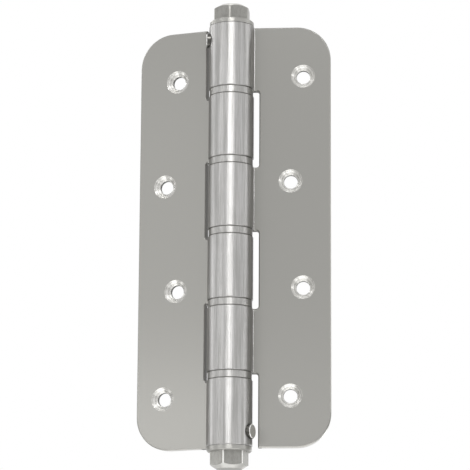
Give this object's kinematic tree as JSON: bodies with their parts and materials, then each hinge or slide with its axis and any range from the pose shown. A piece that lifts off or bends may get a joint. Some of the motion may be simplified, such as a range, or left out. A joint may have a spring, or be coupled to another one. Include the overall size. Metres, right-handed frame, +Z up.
{
  "type": "spring hinge",
  "caption": "Barrel spring hinge with rolled steel leaves, countersunk screw holes, bearing rings, an inner torsion spring and hexagonal tension plugs.",
  "frame": {"origin": "on the barrel's axis at half the height of the leaves", "axes": "+Z up along the barrel, +X along the fixed leaf, -Y towards the side where the screw heads show"},
  "size_m": [0.0683, 0.0214, 0.1652],
  "materials": {
    "leaf_steel": "polished stainless sheet",
    "ring_steel": "fine turned stainless",
    "plug_steel": "machined stainless bar",
    "pin_steel": "machined stainless",
    "spring_steel": "drawn spring wire",
    "rod_steel": "drawn bar",
    "sleeve_plastic": "natural acetal"
  },
  "bodies": {
    "fixed_side": {"fixed_leaf": "leaf_steel", "top_tension_plug": "plug_steel", "torsion_spring": "spring_steel", "guide_rod": "rod_steel", "knuckle_ring_1": "ring_steel", "knuckle_ring_2": "ring_steel", "knuckle_ring_3": "ring_steel", "knuckle_ring_4": "ring_steel", "knuckle_ring_5": "ring_steel", "bearing_sleeve_1": "sleeve_plastic", "bearing_sleeve_2": "sleeve_plastic", "bearing_sleeve_3": "sleeve_plastic", "bearing_sleeve_4": "sleeve_plastic", "bearing_sleeve_5": "sleeve_plastic"},
    "moving_side": {"moving_leaf": "leaf_steel", "bottom_tension_plug": "plug_steel"},
    "top_pin": {"top_lock_pin": "pin_steel"},
    "bottom_pin": {"bottom_lock_pin": "pin_steel"}
  },
  "joints": [
    {"name": "leaf_swing", "type": "hinge", "parent": "fixed_side", "child": "moving_side", "pos_m": [0, 0, 0], "axis": [0, 0, 1], "range_deg": [-74, 196], "stiffness_Nm_per_rad": 0.32, "deforming": ["torsion_spring"]},
    {"name": "top_pin_pull", "type": "slide", "parent": "fixed_side", "child": "top_pin", "axis": [-0.9945, -0.1045, 0], "range_m": [0, 0.007]},
    {"name": "bottom_pin_pull", "type": "slide", "parent": "moving_side", "child": "bottom_pin", "axis": [0.9272, -0.3746, 0], "range_m": [0, 0.007]}
  ]
}
